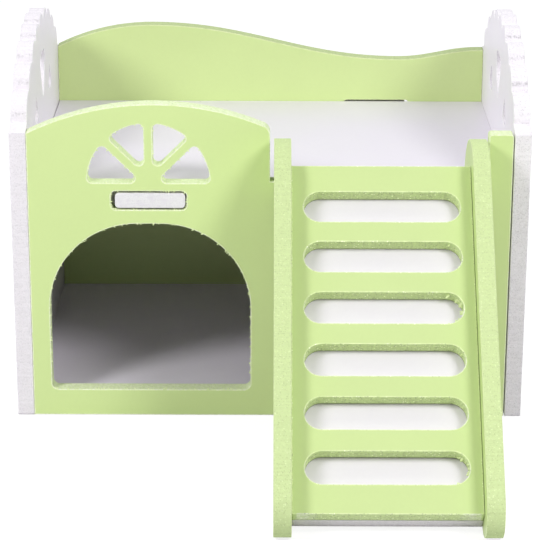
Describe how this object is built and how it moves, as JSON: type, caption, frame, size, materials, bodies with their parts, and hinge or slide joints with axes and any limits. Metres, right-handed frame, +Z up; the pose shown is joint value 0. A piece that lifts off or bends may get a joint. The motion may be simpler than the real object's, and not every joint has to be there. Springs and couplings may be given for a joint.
{
  "type": "hamster house",
  "caption": "Small two-storey hamster house of foamed plastic board, with an arched doorway, a railed upper deck and a slotted ladder that hooks over the front.",
  "frame": {"origin": "on the ground, midway between the ladder's foot and the back, in the middle of the width", "axes": "+Z up, -Y to the front where the doorway and the ladder are, +X to the right"},
  "size_m": [0.155, 0.205, 0.1135],
  "materials": {
    "green_board": "satin lime-green skin over foamed board",
    "white_board": "satin white skin over foamed board"
  },
  "bodies": {
    "house": {"front_panel": "green_board", "back_panel": "green_board", "left_side_panel": "white_board", "right_side_panel": "white_board", "deck": "white_board", "floor": "white_board"},
    "ladder": {"ladder_tread": "green_board", "ladder_backing": "white_board", "ladder_left_rail": "green_board", "ladder_right_rail": "green_board"}
  },
  "joints": [
    {"name": "ladder_lift", "type": "slide", "parent": "house", "child": "ladder", "axis": [0, 0, 1], "range_m": [0, 0.02]}
  ]
}
